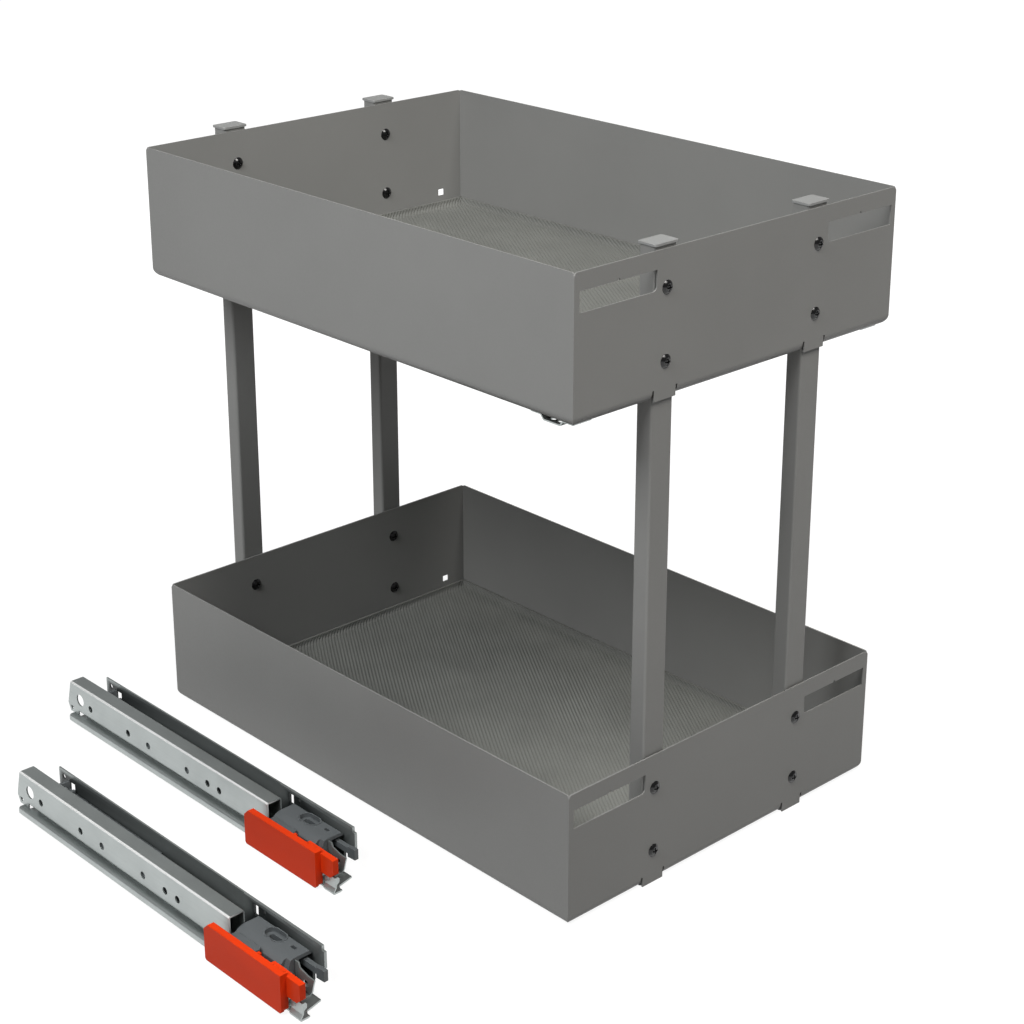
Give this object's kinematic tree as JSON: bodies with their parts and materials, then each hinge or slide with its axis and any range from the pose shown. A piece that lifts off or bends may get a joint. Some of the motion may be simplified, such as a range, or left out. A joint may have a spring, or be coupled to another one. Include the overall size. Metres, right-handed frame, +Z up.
{
  "type": "two-tier pull-out cabinet organizer",
  "caption": "Tiered steel trays on upright posts, with ribbed mats and slotted fronts, beside the undermount slides with sprung release handles that carry them.",
  "frame": {"origin": "bottom centre of the box round the organizer and both slides", "axes": "+X to the right seen from the front, +Y towards the rear, +Z up"},
  "size_m": [0.5644, 0.5336, 0.506],
  "materials": {
    "powder_coat": "satin grey powder coat",
    "mat_rubber": "matt ribbed",
    "cap_plastic": "matt light grey",
    "dark_plastic": "matt dark grey",
    "orange_plastic": "satin orange",
    "black_screw": "glossy black",
    "zinc_steel": "zinc plated",
    "dark_steel": "dark passivated",
    "spring_steel": "bright wire"
  },
  "bodies": {
    "cabinet_side": {"far_cabinet_channel": "zinc_steel", "far_side_bracket": "dark_steel", "far_channel_rivets": "zinc_steel", "far_damper_housing": "dark_plastic", "far_damper_cylinder": "zinc_steel", "far_damper_rod": "zinc_steel", "far_closing_spring": "spring_steel", "far_closing_catch": "dark_plastic", "near_cabinet_channel": "zinc_steel", "near_side_bracket": "dark_steel", "near_channel_rivets": "zinc_steel", "near_damper_housing": "dark_plastic", "near_damper_cylinder": "zinc_steel", "near_damper_rod": "zinc_steel", "near_closing_spring": "spring_steel", "near_closing_catch": "dark_plastic"},
    "carriage": {"upper_tray": "powder_coat", "lower_tray": "powder_coat", "upper_mat": "mat_rubber", "lower_mat": "mat_rubber", "front_left_post": "powder_coat", "front_right_post": "powder_coat", "rear_left_post": "powder_coat", "rear_right_post": "powder_coat", "post_top_caps": "cap_plastic", "post_foot_caps": "dark_plastic", "front_screws": "black_screw", "rear_screws": "black_screw", "front_rivet_nuts": "zinc_steel", "rear_rivet_nuts": "zinc_steel", "runner_brackets": "zinc_steel", "runner_bracket_rivets": "zinc_steel", "far_drawer_rail": "zinc_steel", "far_catch_body": "dark_plastic", "far_latch_plate": "dark_plastic", "far_catch_pins": "zinc_steel", "far_handle_pin": "zinc_steel", "near_drawer_rail": "zinc_steel", "near_catch_body": "dark_plastic", "near_latch_plate": "dark_plastic", "near_catch_pins": "zinc_steel", "near_handle_pin": "zinc_steel"},
    "far_middle": {"far_middle_rail": "zinc_steel"},
    "far_lower_bearing": {"far_lower_cage": "dark_plastic", "far_lower_rollers": "zinc_steel"},
    "far_upper_bearing": {"far_upper_cage": "dark_plastic", "far_upper_rollers": "zinc_steel"},
    "far_handle": {"far_release_handle": "orange_plastic"},
    "far_adjuster": {"far_height_adjuster": "dark_plastic"},
    "near_middle": {"near_middle_rail": "zinc_steel"},
    "near_lower_bearing": {"near_lower_cage": "dark_plastic", "near_lower_rollers": "zinc_steel"},
    "near_upper_bearing": {"near_upper_cage": "dark_plastic", "near_upper_rollers": "zinc_steel"},
    "near_handle": {"near_release_handle": "orange_plastic"},
    "near_adjuster": {"near_height_adjuster": "dark_plastic"}
  },
  "joints": [
    {"name": "pull_out", "type": "slide", "parent": "cabinet_side", "child": "carriage", "axis": [0, -1, 0], "range_m": [0, 0.34]},
    {"name": "far_middle_slide", "type": "slide", "parent": "cabinet_side", "child": "far_middle", "axis": [0, -1, 0], "range_m": [0, 0.17]},
    {"name": "far_lower_bearing_slide", "type": "slide", "parent": "cabinet_side", "child": "far_lower_bearing", "axis": [0, -1, 0], "range_m": [0, 0.085]},
    {"name": "far_upper_bearing_slide", "type": "slide", "parent": "cabinet_side", "child": "far_upper_bearing", "axis": [0, -1, 0], "range_m": [0, 0.255]},
    {"name": "far_handle_press", "type": "hinge", "parent": "carriage", "child": "far_handle", "pos_m": [-0.15975, -0.0292, 0.019], "axis": [0, 0, 1], "range_deg": [0, 3.5], "stiffness_Nm_per_rad": 3, "springref_deg": -1.15},
    {"name": "far_height_set", "type": "slide", "parent": "carriage", "child": "far_adjuster", "axis": [0, 1, 0], "range_m": [0, 0.006]},
    {"name": "near_middle_slide", "type": "slide", "parent": "cabinet_side", "child": "near_middle", "axis": [0, -1, 0], "range_m": [0, 0.17]},
    {"name": "near_lower_bearing_slide", "type": "slide", "parent": "cabinet_side", "child": "near_lower_bearing", "axis": [0, -1, 0], "range_m": [0, 0.085]},
    {"name": "near_upper_bearing_slide", "type": "slide", "parent": "cabinet_side", "child": "near_upper_bearing", "axis": [0, -1, 0], "range_m": [0, 0.255]},
    {"name": "near_handle_press", "type": "hinge", "parent": "carriage", "child": "near_handle", "pos_m": [-0.27475, -0.1372, 0.019], "axis": [0, 0, 1], "range_deg": [0, 3.5], "stiffness_Nm_per_rad": 3, "springref_deg": -1.15},
    {"name": "near_height_set", "type": "slide", "parent": "carriage", "child": "near_adjuster", "axis": [0, 1, 0], "range_m": [0, 0.006]}
  ],
  "couplings": [
    {"joint": "far_middle_slide", "follows": "pull_out", "ratio": 0.5},
    {"joint": "far_lower_bearing_slide", "follows": "pull_out", "ratio": 0.25},
    {"joint": "far_upper_bearing_slide", "follows": "pull_out", "ratio": 0.75},
    {"joint": "near_middle_slide", "follows": "pull_out", "ratio": 0.5},
    {"joint": "near_lower_bearing_slide", "follows": "pull_out", "ratio": 0.25},
    {"joint": "near_upper_bearing_slide", "follows": "pull_out", "ratio": 0.75}
  ]
}
